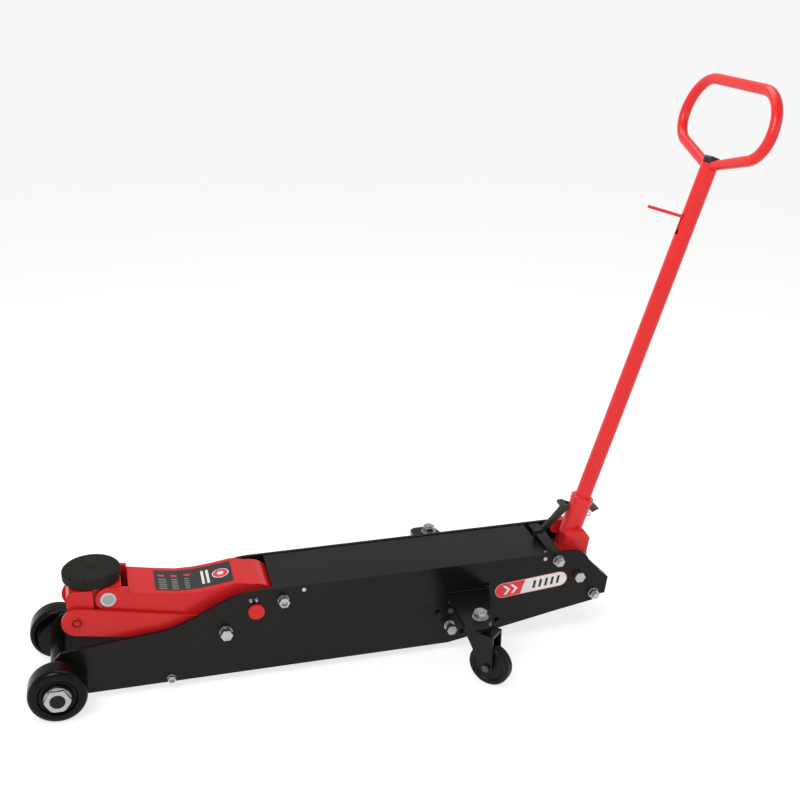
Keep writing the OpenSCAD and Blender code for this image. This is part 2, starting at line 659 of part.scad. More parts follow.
// Cylinder with its gland ring, and a cross block whose stub shafts sit in the plates
module ram_cylinder() on_base() color([0.25, 0.25, 0.27]) difference() {
    union() {
        x_bar(cylinder_x0, cylinder_x1, ram_z, cylinder_d / 2);
        x_bar(cylinder_x0, cylinder_x0 + 22, ram_z, cylinder_d / 2 + 5);
        translate([trunnion_x - 35, -frame_in + 9, ram_z - 35]) cube([70, 2 * (frame_in - 9), 70]);
        bar([trunnion_x, ram_z], trunnion_r, -frame_out - 1, frame_out + 1);
    }
    x_bar(cylinder_x0 - 1, cylinder_x0 + 23, ram_z, ram_d / 2 + fit);
    x_bar(cylinder_x0 + 22, cylinder_x1 - 30, ram_z, cylinder_d / 2 - 10);
}

// Rod and piston, with a slotted head for the crank's roller
head_x0 = slot_x - roller_r - slot_clear - 12;
head_x1 = slot_x + roller_r + slot_clear + 14;
module ram() on_base() color([0.7, 0.72, 0.75]) difference() {
    union() {
        x_bar(head_x1 - 1, cylinder_x0 + 90, ram_z, ram_d / 2);
        x_bar(cylinder_x0 + 90, cylinder_x0 + 120, ram_z, cylinder_d / 2 - 10 - fit);
        translate([head_x0, -ram_fork, ram_z - 34]) cube([head_x1 - head_x0, 2 * ram_fork, 68]);
    }
    xz_plate(-ram_fork - 1, ram_fork + 1) {
        translate([slot_x - roller_r - slot_clear, ram_z - crank_rise / 2 - 2])
            square([2 * (roller_r + slot_clear), crank_rise + 4]);
        for (s = [-1, 1]) translate([slot_x, ram_z + s * (crank_rise / 2 + 2)]) circle(roller_r + slot_clear);
    }
}

module oil_tank() on_base() color([0.2, 0.2, 0.22]) {
    x_bar(cylinder_x1, block_x0, ram_z, tank_d / 2);
    translate([(cylinder_x1 + block_x0) / 2, 0, ram_z + tank_d / 2 - 2]) cylinder(r = 9, h = 12, $fn = 6);
}

module pump_block() on_base() color([0.3, 0.3, 0.32]) difference() {
    translate([block_x0, -55, 88]) cube([block_x1 - block_x0, 110, 128]);
    x_bar(block_x0 + 6, block_x1 + 1, roller_z, plunger_d / 2 + fit);
    x_bar(block_x1 - 30, block_x1 + 1, 196, 7 + fit);
}

module pump_plunger() on_base() color([0.75, 0.75, 0.78]) {
    x_bar(block_x0 + 48, plunger_face, roller_z, plunger_d / 2);
    x_bar(plunger_face - 8, plunger_face, roller_z, plunger_d / 2 + 5);
}

// Release valve stem, with a squared tongue where the universal joint fits
module valve_stem() on_base() color([0.7, 0.7, 0.72]) {
    x_bar(block_x1 - 28, block_x1 + 16, 196, 7);
    translate([block_x1 + 15, -4, 190]) cube([14, 8, 12]);
}

// ---------- handle ----------

// Each leg reaches from the pivot up to the crosshead, and down to the roller
function from_bolt(points) = [for (p = points) [rear_reach + p[0], yoke_z + p[1]]];
leg_back = [[31, 104], [45, 84], [40, 51], [27, -2]];
module leg_eyes() {
    translate([rear_reach, yoke_z]) circle(28);
    tapered_bar([rear_reach, yoke_z], 28, [roller_x, roller_z], 15);
}
module leg_left() {
    leg_eyes();
    polygon(from_bolt(concat([[-26, 5], [-22, 62], [-20, 98], [-14, 104]], leg_back)));
}
module leg_right() {
    leg_eyes();
    polygon(from_bolt(concat([[-12, 5], [-8, 64], [-27, 66], [-26, 102]], leg_back)));
}
// The crosshead between the legs is set back from their front edges
module crosshead_outline() polygon(from_bolt([[-6, 70], [-4, 98], [22, 104], [39, 90], [38, 58]]));

roller_pin_r = 6;
module handle_yoke() on_base() color([0.8, 0.1, 0.1]) difference() {
    union() {
        xz_plate(-leg_out, -leg_in) leg_left();
        xz_plate(leg_in, leg_out) leg_right();
        xz_plate(-leg_in - 1, leg_in + 1) crosshead_outline();
        on_handle() {
            translate([0, 0, 78]) cylinder(d = socket_d, h = socket_top - 78);
            translate([0, 0, socket_top - 15]) cylinder(d = socket_d + 4, h = 13);
            translate([0, 0, socket_top - 2]) cylinder(d1 = socket_d + 4, d2 = socket_d, h = 2);
        }
    }
    bar([rear_reach, yoke_z], yoke_bolt_d / 2 + fit, -frame_w, frame_w);
    bar([roller_x, roller_z], roller_pin_r + fit, -frame_w, frame_w);
    on_handle() {
        translate([0, 0, tube_foot]) cylinder(r = tube_r + fit, h = 400);
        translate([0, 0, 40]) cylinder(r = 9, h = 100);
        // screw hole for the lock pawl
        translate([0, 0, pawl_h]) rotate([-90, 0, 0]) cylinder(r = 4 + fit, h = 60);
    }
}

module yoke_bolt() on_base() color([0.7, 0.7, 0.7]) {
    bar([rear_reach, yoke_z], yoke_bolt_d / 2, -frame_out - 3, frame_out + 3);
    both_sides() hex([rear_reach, yoke_z], yoke_bolt_d * 1.1, -frame_out - 14, -frame_out);
}
module yoke_spacers() on_base() color([0.3, 0.3, 0.3]) both_sides() difference() {
    bar([rear_reach, yoke_z], yoke_bolt_d / 2 + 6, -frame_in + sheet_gap, -leg_out - 0.5);
    bar([rear_reach, yoke_z], yoke_bolt_d / 2 + fit, -frame_in, -leg_out);
}

module pump_roller() on_base() color([0.6, 0.6, 0.62]) {
    bar([roller_x, roller_z], roller_pin_r, -leg_out, leg_out);
    bar([roller_x, roller_z], pump_roller_r, -leg_in + 1, leg_in - 1);
}

slot_half_w = lever_d / 2 + 2;
module handle_tube() on_base() color([0.85, 0.1, 0.1]) on_handle() difference() {
    translate([0, 0, tube_foot]) cylinder(r = tube_r, h = tube_top - tube_foot);
    translate([0, 0, tube_foot - 1]) cylinder(r = tube_r - tube_wall, h = tube_top - tube_foot + 2);
    // slot for the lock lever, in the front wall
    translate([-tube_r - 2, -slot_half_w, lever_h - lever_travel - 6])
        cube([tube_r + 2, 2 * slot_half_w, lever_travel + 12]);
    translate([0, 0, pawl_h]) rotate([-90, 0, 0]) cylinder(r = 4 + fit, h = 60);
}

// Middle line of one half of the loop, from the top bar's middle down to the tube: half of
// the bar, a corner, a bend and a straight leg, as [across, up, direction]
loop_low = loop_h - loop_corner_r;
loop_bend_r = (loop_low * cos(loop_rise) - loop_half_w * sin(loop_rise)) / (1 - sin(loop_rise));
loop_r = loop_d / 2;
function on_bend(c, r, a) = [c[0] + r * cos(a), c[1] + r * sin(a), a];
half_loop = concat(
    [for (i = [0:9]) on_bend([loop_half_w - loop_corner_r, loop_low], loop_corner_r, 90 - i * 10)],
    [for (i = [0:8]) on_bend([loop_half_w - loop_bend_r, loop_low], loop_bend_r, -i * (90 - loop_rise) / 8)],
    [[5, 5 * tan(loop_rise), loop_rise - 90]]);
loop_line = concat(
    half_loop, [for (i = [len(half_loop) - 2:-1:0]) [-half_loop[i][0], half_loop[i][1], 180 - half_loop[i][2]]]);
loop_sides = 20;

// Round tube swept along the closed middle line; each ring lies across the line there
module swept_loop() {
    n = len(loop_line);
    rings = [for (p = loop_line) for (k = [0:loop_sides - 1]) let (a = 360 * k / loop_sides)
        [loop_r * sin(a), p[0] + loop_r * cos(a) * cos(p[2]), p[1] + loop_r * cos(a) * sin(p[2])]];
    polyhedron(rings, [for (i = [0:n - 1]) for (k = [0:loop_sides - 1])
        let (j = (i + 1) % n, m = (k + 1) % loop_sides)
        [i * loop_sides + k, i * loop_sides + m, j * loop_sides + m, j * loop_sides + k]]);
}
module grip_loop() on_base() color([0.85, 0.1, 0.1]) on_handle() difference() {
    translate([0, 0, loop_foot]) swept_loop();
    translate([0, 0, loop_foot - 60]) cylinder(r = tube_r, h = 100);
}

// Knob on a long rod down the middle of the tube
module release_knob() on_base() color([0.05, 0.05, 0.05]) on_handle() {
    translate([0, 0, tube_top + 0.6]) rotate_extrude() polygon([
        [0, 0], [tube_r - 2, 0], [tube_r - 0.5, 1.5], [tube_r - 0.5, 12], [tube_r - 4, 16], [0, 17.5]]);
    translate([0, 0, tube_foot - 8]) cylinder(r = 5, h = tube_top - tube_foot + 9);
}

// Sliding sleeve with the lever through the slot, and the thin rod that runs down to the socket
module lock_lever() on_base() color([0.8, 0.1, 0.15]) on_handle() difference() {
    union() {
        translate([0, 0, lever_h - 34]) cylinder(r = tube_r - tube_wall - 0.4, h = 42);
        translate([-120, 0, lever_h]) rotate([0, 90, 0]) cylinder(r = lever_d / 2, h = 112);
        translate([0, 11, pawl_h + lever_travel + 14])
            cylinder(r = 3, h = lever_h - 34 - pawl_h - lever_travel - 13);
    }
    translate([0, 0, lever_h - 60]) cylinder(r = 6.5, h = 120);
}

// Latch that turns on a screw in the far side of the socket; its tab is behind the socket
// and its hook drops into the slot in front of the rear strip
pawl_in = socket_d / 2 + 1;
pawl_t = 4;
pawl_pin = [
    rear_reach + pawl_h * sin(lean) - axis_off * cos(lean),
    yoke_z + pawl_h * cos(lean) + axis_off * sin(lean)];
hook_x = strip_x0 - 15.2;
module pawl_arm() polygon([
    pawl_pin + [-24, 24], pawl_pin + [-44, 26], pawl_pin + [-72, -8], [hook_x + 14, cover_top + 27],
    [hook_x, cover_top + 25], [hook_x, cover_top + 4.5], [hook_x + 5, cover_top + 4.5],
    [hook_x + 8, cover_top + 17], [hook_x + 20, cover_top + 15.5], pawl_pin + [-60, -18], pawl_pin + [-34, 8],
    pawl_pin + [-26, 14]]);
module lock_pawl() on_base() color([0.05, 0.05, 0.05]) {
    xz_plate(pawl_in, pawl_in + pawl_t) difference() {
        union() {
            tapered_bar(pawl_pin, 10, pawl_pin + [-34, 20], 6);
            tapered_bar(pawl_pin, 10, pawl_pin + [44, 4], 5);
        }
        translate(pawl_pin) circle(4);
    }
    // screw through the cheek into the socket's wall
    bar(pawl_pin, 4, tube_r + 1.5, pawl_in + pawl_t + 4);
    xz_plate(-6, pawl_in + pawl_t)
        polygon([pawl_pin + [-44, 26], pawl_pin + [-30, 26], pawl_pin + [-36, 14], pawl_pin + [-46, 18]]);
    xz_plate(-10, pawl_in + pawl_t)
        polygon([pawl_pin + [40, -2], pawl_pin + [60, 7], pawl_pin + [41, 9]]);
    xz_plate(-6, 6) pawl_arm();
}

side_plate_left();
side_plate_right();
top_cover();
rear_strip();
tail_guard();
cross_bolts();
cross_bolt_nuts();
frame_side_bolts();
cover_screws();
lift_shaft();
lift_bushes();
grease_nipples();
link_bolts();
front_axle();
front_axle_spacers();
front_axle_nuts();
front_wheel_left();
front_wheel_right();
wheel_bush_left();
wheel_bush_right();
caster_bracket_left();
caster_bracket_right();
bracket_bolts();
kingpins();
kingpin_nuts();
caster_bearings();
caster_fork_left();
caster_fork_right();
caster_axle_left();
caster_axle_right();
caster_wheel_left();
caster_wheel_right();
arm_cheek_left();
arm_cheek_right();
arm_top_plate();
arm_pivot_tube();
crank_pin();
crank_roller();
arm_pin();
arm_pin_washers();
saddle_bracket();
lower_link();
link_pins();
saddle_plate();
saddle_pad();
ram_cylinder();
ram();
oil_tank();
pump_block();
pump_plunger();
valve_stem();
handle_yoke();
yoke_bolt();
yoke_spacers();
pump_roller();
handle_tube();
grip_loop();
release_knob();
lock_lever();
lock_pawl();
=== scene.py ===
import json
import math

import bmesh
import bpy
from mathutils import Matrix, Vector
from mathutils.bvhtree import BVHTree


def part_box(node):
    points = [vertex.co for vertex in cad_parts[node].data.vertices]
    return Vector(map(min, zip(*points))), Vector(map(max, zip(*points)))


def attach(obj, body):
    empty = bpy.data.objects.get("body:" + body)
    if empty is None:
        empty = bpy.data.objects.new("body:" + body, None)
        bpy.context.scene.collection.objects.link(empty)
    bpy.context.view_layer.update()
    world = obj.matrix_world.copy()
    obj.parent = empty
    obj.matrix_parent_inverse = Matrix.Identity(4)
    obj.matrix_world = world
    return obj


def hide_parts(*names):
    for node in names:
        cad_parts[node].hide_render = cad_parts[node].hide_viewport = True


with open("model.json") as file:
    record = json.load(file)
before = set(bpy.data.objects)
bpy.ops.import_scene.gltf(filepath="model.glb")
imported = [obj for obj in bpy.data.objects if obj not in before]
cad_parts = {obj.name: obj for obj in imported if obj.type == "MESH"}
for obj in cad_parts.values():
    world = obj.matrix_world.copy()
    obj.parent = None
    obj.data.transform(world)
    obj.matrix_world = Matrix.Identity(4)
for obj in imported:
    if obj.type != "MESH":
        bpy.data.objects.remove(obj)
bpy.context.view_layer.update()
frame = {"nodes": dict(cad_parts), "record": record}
nodes = frame["nodes"]

# ---------- materials ----------


def new_material(name):
    made = bpy.data.materials.new(name)
    made.use_nodes = True
    tree = made.node_tree
    shader = tree.nodes["Principled BSDF"]
    coords = tree.nodes.new("ShaderNodeTexCoord")
    return made, tree, shader, coords.outputs["Object"]


def noise(tree, where, scale, detail=3.0, rough=0.55):
    made = tree.nodes.new("ShaderNodeTexNoise")
    made.inputs["Scale"].default_value = scale
    made.inputs["Detail"].default_value = detail
    made.inputs["Roughness"].default_value = rough
    tree.links.new(where, made.inputs["Vector"])
    return made.outputs["Fac"]


def spread(tree, value, low, high, from_low=0.3, from_high=0.7):
    made = tree.nodes.new("ShaderNodeMapRange")
    made.inputs["From Min"].default_value = from_low
    made.inputs["From Max"].default_value = from_high
    made.inputs["To Min"].default_value = low
    made.inputs["To Max"].default_value = high
    tree.links.new(value, made.inputs["Value"])
    return made.outputs["Result"]


def mix(tree, share, a, b):
    made = tree.nodes.new("ShaderNodeMix")
    made.data_type = "RGBA"
    tree.links.new(share, made.inputs["Factor"])
    for socket, colour in ((made.inputs[6], a), (made.inputs[7], b)):
        if isinstance(colour, tuple):
            socket.default_value = (*colour, 1)
        else:
            tree.links.new(colour, socket)
    return made.outputs[2]


def times(tree, a, b):
    made = tree.nodes.new("ShaderNodeMath")
    made.operation = "MULTIPLY"
    for socket, value in zip(made.inputs, (a, b)):
        if isinstance(value, float):
            socket.default_value = value
        else:
            tree.links.new(value, socket)
    return made.outputs[0]


def edges(tree, radius):
    """0 on flat faces, 1 within radius of an edge."""
    soft = tree.nodes.new("ShaderNodeBevel")
    soft.samples = 4
    soft.inputs["Radius"].default_value = radius
    hard = tree.nodes.new("ShaderNodeNewGeometry")
    dot = tree.nodes.new("ShaderNodeVectorMath")
    dot.operation = "DOT_PRODUCT"
    tree.links.new(soft.outputs["Normal"], dot.inputs[0])
    tree.links.new(hard.outputs["Normal"], dot.inputs[1])
    return spread(tree, dot.outputs["Value"], 1.0, 0.0, 0.8, 0.985)


def bumps(tree, shader, height, distance):
    made = tree.nodes.new("ShaderNodeBump")
    made.inputs["Distance"].default_value = distance
    made.inputs["Strength"].default_value = 1.0
    tree.links.new(height, made.inputs["Height"])
    tree.links.new(made.outputs["Normal"], shader.inputs["Normal"])


def paint(name, deep, light, rough, peel, coat=0.0, specular=0.5, worn=(0.3, 0.29, 0.28),
          wear=0.35):
    """Enamel: slow colour drift, orange peel, dust in the gloss, rubbed edges."""
    made, tree, shader, at = new_material(name)
    drift = noise(tree, at, 5.0, 4.0)
    body = mix(tree, spread(tree, drift, 0.0, 1.0), deep, light)
    rims = edges(tree, 0.0012)
    patches = spread(tree, noise(tree, at, 160.0, 6.0, 0.7), 0.0, wear, 0.5, 0.72)
    rubbed = times(tree, rims, patches)
    tree.links.new(mix(tree, rubbed, body, worn), shader.inputs["Base Color"])
    dust = noise(tree, at, 38.0, 7.0, 0.7)
    tree.links.new(spread(tree, dust, rough * 0.8, rough * 1.3), shader.inputs["Roughness"])
    shader.inputs["Specular IOR Level"].default_value = specular
    shader.inputs["Coat Weight"].default_value = coat
    shader.inputs["Coat Roughness"].default_value = 0.08
    bumps(tree, shader, noise(tree, at, 420.0, 2.0), peel)
    return made


def metal(name, colour, dull, rough, grain=260.0, depth=0.00003, stain=0.5):
    """Bare or plated steel: cloudy tone, fine scratches, stains."""
    made, tree, shader, at = new_material(name)
    cloud = noise(tree, at, 60.0, 5.0, 0.6)
    toned = mix(tree, spread(tree, cloud, 0.0, stain), colour, dull)
    tree.links.new(toned, shader.inputs["Base Color"])
    shader.inputs["Metallic"].default_value = 1.0
    scratch = tree.nodes.new("ShaderNodeMapping")
    scratch.inputs["Scale"].default_value = (1.0, 0.08, 1.0)
    tree.links.new(at, scratch.inputs["Vector"])
    fine = noise(tree, scratch.outputs["Vector"], grain * 4, 3.0)
    tree.links.new(spread(tree, fine, rough * 0.75, rough * 1.35), shader.inputs["Roughness"])
    bumps(tree, shader, fine, depth)
    return made


def moulded(name, deep, light, rough, grain, depth, specular=0.4):
    """Rubber or plastic: fine grain, scuffed high spots."""
    made, tree, shader, at = new_material(name)
    scuff = noise(tree, at, 45.0, 8.0, 0.75)
    toned = mix(tree, spread(tree, scuff, 0.0, 1.0, 0.42, 0.75), deep, light)
    tree.links.new(toned, shader.inputs["Base Color"])
    gloss = spread(tree, scuff, rough * 0.85, min(1.0, rough * 1.2))
    tree.links.new(gloss, shader.inputs["Roughness"])
    shader.inputs["Specular IOR Level"].default_value = specular
    bumps(tree, shader, noise(tree, at, grain, 4.0, 0.6), depth)
    return made


def near(tree, at, x, z, radius):
    """1 within radius of the line along Y through x, z, else 0."""
    away = tree.nodes.new("ShaderNodeVectorMath")
    away.operation = "MULTIPLY_ADD"
    away.inputs[1].default_value = (1, 0, 1)
    away.inputs[2].default_value = (-x, 0, -z)
    tree.links.new(at, away.inputs[0])
    length = tree.nodes.new("ShaderNodeVectorMath")
    length.operation = "LENGTH"
    tree.links.new(away.outputs["Vector"], length.inputs[0])
    below = tree.nodes.new("ShaderNodeMath")
    below.operation = "LESS_THAN"
    below.inputs[1].default_value = radius
    tree.links.new(length.outputs["Value"], below.inputs[0])
    return below.outputs[0]


# Plated steel, clean and dulled
ZINC, ZINC_DULL = (0.5, 0.5, 0.5), (0.27, 0.265, 0.25)

# One finish for each of the record's material slots
finish = {
    "black_paint": paint("black_paint", (0.0046, 0.0041, 0.0036), (0.0066, 0.0059, 0.005), 0.22,
                         0.00002, specular=0.17, wear=0.15),
    "red_paint": paint("red_paint", (0.5, 0.011, 0.0135), (0.56, 0.015, 0.017), 0.26,
                       0.00002, 0.06, 0.2, (0.24, 0.012, 0.014), 0.3),
    "zinc": metal("zinc", ZINC, ZINC_DULL, 0.34),
    "dark_zinc": metal("dark_zinc", (0.1, 0.098, 0.092), (0.05, 0.048, 0.045), 0.42),
    "wheel_iron": paint("wheel_iron", (0.0022, 0.0021, 0.002), (0.0042, 0.004, 0.0036), 0.2,
                        0.00006, specular=0.12, wear=0.15),
    "caster_tyre": moulded("caster_tyre", (0.004, 0.0038, 0.0034), (0.009, 0.0085, 0.0075), 0.42,
                           700.0, 0.00008, 0.15),
    "saddle_iron": paint("saddle_iron", (0.008, 0.0076, 0.007), (0.018, 0.017, 0.015), 0.5,
                         0.0003, specular=0.3, wear=0.6),
    "pad_rubber": moulded("pad_rubber", (0.0075, 0.0072, 0.0056), (0.0165, 0.0158, 0.0122), 0.7,
                          900.0, 0.00014, 0.16),
    "unit_paint": paint("unit_paint", (0.02, 0.021, 0.024), (0.035, 0.036, 0.04), 0.4,
                        0.0001, specular=0.3),
    "ground_steel": metal("ground_steel", (0.6, 0.61, 0.63), (0.42, 0.43, 0.44), 0.18,
                          400.0, 0.00001, 0.3),
    "bronze": metal("bronze", (0.6, 0.38, 0.17), (0.36, 0.21, 0.1), 0.32),
    "black_plastic": moulded("black_plastic", (0.006, 0.006, 0.0065), (0.014, 0.014, 0.014), 0.34,
                             900.0, 0.00005),
}
slot_of = {p["node"]: p["material_slot"] for p in frame["record"]["subparts"]}


def dress(obj, slot):
    obj.data.materials.clear()
    obj.data.materials.append(finish[slot])


def soften(obj, width):
    """Rounds the sharp edges a little, as a file, a mould or paint does."""
    obj.data.polygons.foreach_set("use_smooth", [True] * len(obj.data.polygons))
    weld = obj.modifiers.new("weld", "WELD")
    weld.merge_threshold = 0.000005
    flat = obj.modifiers.new("flat", "DECIMATE")
    flat.decimate_type = "DISSOLVE"
    flat.angle_limit = math.radians(0.4)
    bevel = obj.modifiers.new("bevel", "BEVEL")
    bevel.width = width
    bevel.segments = 2
    bevel.limit_method = "ANGLE"
    bevel.angle_limit = math.radians(34)
    bevel.use_clamp_overlap = True
    normals = obj.modifiers.new("normals", "WEIGHTED_NORMAL")
    normals.weight = 60
    normals.keep_sharp = False


# Width of the rounded edges in metres, where it isn't ROUND_OVER
ROUND_OVER = 0.0005
round_over = {
    "saddle_pad": 0.0016, "handle_yoke": 0.0022, "saddle_bracket": 0.0018, "lower_link": 0.0012,
    "arm_cheek_left": 0.001, "arm_cheek_right": 0.001, "arm_top_plate": 0.0012,
    "release_knob": 0.0008, "grip_loop": 0.0002, "side_plate_left": 0.0007,
    "side_plate_right": 0.0007, "tail_guard": 0.0012, "top_cover": 0.001, "rear_strip": 0.0008,
}
for name, obj in nodes.items():
    dress(obj, slot_of[name])
    soften(obj, round_over.get(name, ROUND_OVER))

# Of the short side bolts only the biggest is bright; the small ones are oiled black
big_bolt_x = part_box("frame_side_bolts")[0][0] + 0.0384
big_bolt_z, big_bolt_reach = 0.075, 0.02
side_bolt, tree, shader, at = new_material("side_bolt_zinc")
bright = near(tree, at, big_bolt_x, big_bolt_z, big_bolt_reach)
cloud = spread(tree, noise(tree, at, 60.0, 5.0, 0.6), 0.0, 0.6)
plated = mix(tree, cloud, ZINC, ZINC_DULL)
oiled = mix(tree, cloud, (0.035, 0.034, 0.032), (0.014, 0.0135, 0.013))
tree.links.new(mix(tree, bright, oiled, plated), shader.inputs["Base Color"])
shader.inputs["Metallic"].default_value = 1.0
tree.links.new(spread(tree, noise(tree, at, 300.0), 0.3, 0.45), shader.inputs["Roughness"])
nodes["frame_side_bolts"].data.materials[0] = side_bolt

# The handle is a brighter red than the arm, and the arm's front pin is greyer than the bolts
handle_red = paint("handle_red", (0.62, 0.017, 0.018), (0.68, 0.022, 0.023), 0.26,
                   0.00002, 0.08, 0.25, (0.26, 0.012, 0.014), 0.3)
for name in ("handle_yoke", "handle_tube", "grip_loop", "lock_lever"):
    nodes[name].data.materials[0] = handle_red
pin_zinc = metal("pin_zinc", (0.34, 0.36, 0.33), (0.2, 0.21, 0.19), 0.3)
nodes["arm_pin"].data.materials[0] = pin_zinc

# ---------- pieces made here ----------


def new_piece(name, verts, faces, body, slot=None, made=None, smooth=False):
    """A mesh that rides on body, finished as its slot or in the material made."""
    mesh = bpy.data.meshes.new(name)
    mesh.from_pydata([tuple(v) for v in verts], [], faces)
    bm = bmesh.new()
    bm.from_mesh(mesh)
    bmesh.ops.recalc_face_normals(bm, faces=bm.faces)
    bm.to_mesh(mesh)
    bm.free()
    obj = bpy.data.objects.new(name, mesh)
    bpy.context.scene.collection.objects.link(obj)
    if smooth:
        mesh.polygons.foreach_set("use_smooth", [True] * len(mesh.polygons))
    if slot:
        mesh.materials.append(finish[slot])
    else:
        mesh.materials.append(made)
    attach(obj, body)
    return obj


def tree_of(name):
    mesh = nodes[name].data
    verts = [v.co.copy() for v in mesh.vertices]
    return BVHTree.FromPolygons(verts, [tuple(p.vertices) for p in mesh.polygons])


def circle(steps):
    """Angles of steps points, evenly round a circle."""
    return [2 * math.pi * i / steps for i in range(steps)]


def tube(points, radius, sides=12, closed=True):
    """Vertices and faces of a round bar along points.

    The radius may be a function of a point's number.
    """
    n = len(points)
    verts, faces = [], []
    side = None
    for i, p in enumerate(points):
        a = points[(i - 1) % n] if closed or i else p
        b = points[(i + 1) % n] if closed or i < n - 1 else p
        along = (b - a).normalized()
        if side is None:
            side = along.orthogonal().normalized()
        side = (side - along * side.dot(along)).normalized()
        up = along.cross(side)
        r = radius(i) if callable(radius) else radius
        verts += [p + r * (math.cos(t) * side + math.sin(t) * up) for t in circle(sides)]
    for i in range(n if closed else n - 1):
        j = (i + 1) % n
        for k in range(sides):
            m = (k + 1) % sides
            faces.append((i * sides + k, i * sides + m, j * sides + m, j * sides + k))
    if not closed:
        faces.append(tuple(range(sides))[::-1])
        faces.append(tuple((n - 1) * sides + k for k in range(sides)))
    return verts, faces


def bead(name, points, radius, body, slot):
    """A weld bead: a half-sunk bar with the ripples a welder leaves."""
    ripple, turn_per_point = 0.16, 2.1
    verts, faces = tube(points, lambda i: radius * (1 + ripple * math.sin(i * turn_per_point)),
                        10, False)
    return new_piece(name, verts, faces, body, slot, smooth=True)


def film(name, ribbons, place, body, made, lift, turned=False):
    """Thin closed films. A ribbon is a list of (along, low, high); place gives point and normal.

    Turned ribbons run across instead of along. The face is lift above the surface.
    """
    sunk = 0.0002
    verts, faces = [], []
    for ribbon in ribbons:
        first = len(verts)
        for along, low, high in ribbon:
            ends = ((low, along), (high, along)) if turned else ((along, low), (along, high))
            (a, up_a), (b, up_b) = (place(*end) for end in ends)
            verts += [a + up_a * lift, b + up_b * lift, b - up_b * sunk, a - up_a * sunk]
        for i in range(len(ribbon) - 1):
            k = first + 4 * i
            faces += [(k + j, k + (j + 1) % 4, k + 4 + (j + 1) % 4, k + 4 + j) for j in range(4)]
        k = first + 4 * (len(ribbon) - 1)
        faces += [(first + 3, first + 2, first + 1, first), (k, k + 1, k + 2, k + 3)]
    return new_piece(name, verts, faces, body, made=made)


def box_ribbon(a0, a1, low, high, parts):
    return [(a0 + (a1 - a0) * i / parts, low, high) for i in range(parts + 1)]


def pill_ribbon(half_length, half_height):
    """Stations of a pill with half-round ends, along its length."""
    steps = 14
    ends = [(half_length - half_height + half_height * math.sin(t),
             half_height * max(0.03, math.cos(t)))
            for t in (math.pi / 2 * i / steps for i in range(steps + 1))]
    rows = [(-along, -high, high) for along, high in reversed(ends)]
    return rows + [(along, -high, high) for along, high in ends]


def disc_ribbon(centre, radius):
    steps = 24
    rows = []
    for i in range(steps + 1):
        t = math.pi * i / steps
        high = radius * max(0.04, math.sin(t))
        rows.append((centre - radius * math.cos(t), -high, high))
    return rows


def printed(name, colour, second, rough=0.35, specular=0.35):
    """Printed film: faint mottling in the ink and fine scuffs."""
    made, tree, shader, at = new_material(name)
    ink = spread(tree, noise(tree, at, 90.0, 6.0, 0.7), 0.0, 1.0)
    tree.links.new(mix(tree, ink, colour, second), shader.inputs["Base Color"])
    scuffs = spread(tree, noise(tree, at, 400.0, 4.0), rough * 0.8, rough * 1.3)
    tree.links.new(scuffs, shader.inputs["Roughness"])
    shader.inputs["Specular IOR Level"].default_value = specular
    bumps(tree, shader, noise(tree, at, 700.0, 2.0), 0.00001)
    return made


# Dark red film used as painted shade in the link pins' recesses
painted_shade_red = printed("painted_shade_red", (0.09, 0.002, 0.003), (0.16, 0.004, 0.005), 0.5, 0.15)
ink_black = printed("ink_black", (0.011, 0.0108, 0.01), (0.02, 0.0195, 0.018))
ink_grey = printed("ink_grey", (0.22, 0.21, 0.2), (0.3, 0.29, 0.27))
ink_white = printed("ink_white", (0.62, 0.61, 0.6), (0.7, 0.69, 0.67))
ink_red = printed("ink_red", (0.6, 0.02, 0.035), (0.68, 0.03, 0.045))
ink_pink = printed("ink_pink", (0.75, 0.3, 0.32), (0.8, 0.36, 0.37))

# The sign of Y on each side
SIDES = ((-1, "left"), (1, "right"))

# ---- front wheels: broad rounded rim, dish and hub, turned from one profile ----

# (radius, depth from the outer face): hub, outer dish, rim, tread, rim, inner dish, hub
wheel_profile = [(r / 1000, d / 1000) for r, d in (
    (21.7, 0.4), (22.2, 0), (33, 0), (34.4, 0.4), (35.1, 1.8),
    (36, 6.6), (37.4, 8), (42.6, 8.2), (44.6, 7.4), (45.8, 5.4), (46.6, 3), (47.8, 1.3),
    (50, 0.3), (53.5, 0), (57, 0.3), (60.5, 1.1), (63.6, 2.5), (66.3, 4.6), (68.3, 7.4),
    (69.5, 10.8), (70, 14.6), (70, 30), (70, 48.5), (69.5, 52),
    (68, 55.2), (65.8, 57.4), (62.8, 58.7), (59.5, 59), (57.6, 58),
    (56.6, 54), (54.5, 51.6), (51, 51), (38, 51), (36.4, 51.8),
    (35.4, 54), (34.8, 58), (33.6, 59), (22.2, 59), (21.7, 58.6))]


def lathe(name, profile, middle, outward, body, slot, steps=112):
    """Turns a closed profile about the line through middle along outward."""
    side = outward.orthogonal().normalized()
    up = outward.cross(side)
    n = len(profile)
    verts = []
    for t in circle(steps):
        spoke = math.cos(t) * side + math.sin(t) * up
        verts += [middle - outward * depth + spoke * radius for radius, depth in profile]
    faces = []
    for i in range(steps):
        here, there = i * n, (i + 1) % steps * n
        faces += [(here + k, here + (k + 1) % n, there + (k + 1) % n, there + k) for k in range(n)]
    obj = new_piece(name, verts, faces, body, slot, smooth=True)
    normals = obj.modifiers.new("normals", "WEIGHTED_NORMAL")
    normals.weight = 40
    return obj


for side, where in SIDES:
    low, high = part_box("front_wheel_" + where)
    middle = (low + high) / 2
    middle.y = low.y if side < 0 else high.y
    rim = lathe("front_wheel_cast_" + where, wheel_profile, middle, Vector((0, side, 0)),
                "wheel_" + where, "wheel_iron")
    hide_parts("front_wheel_" + where)
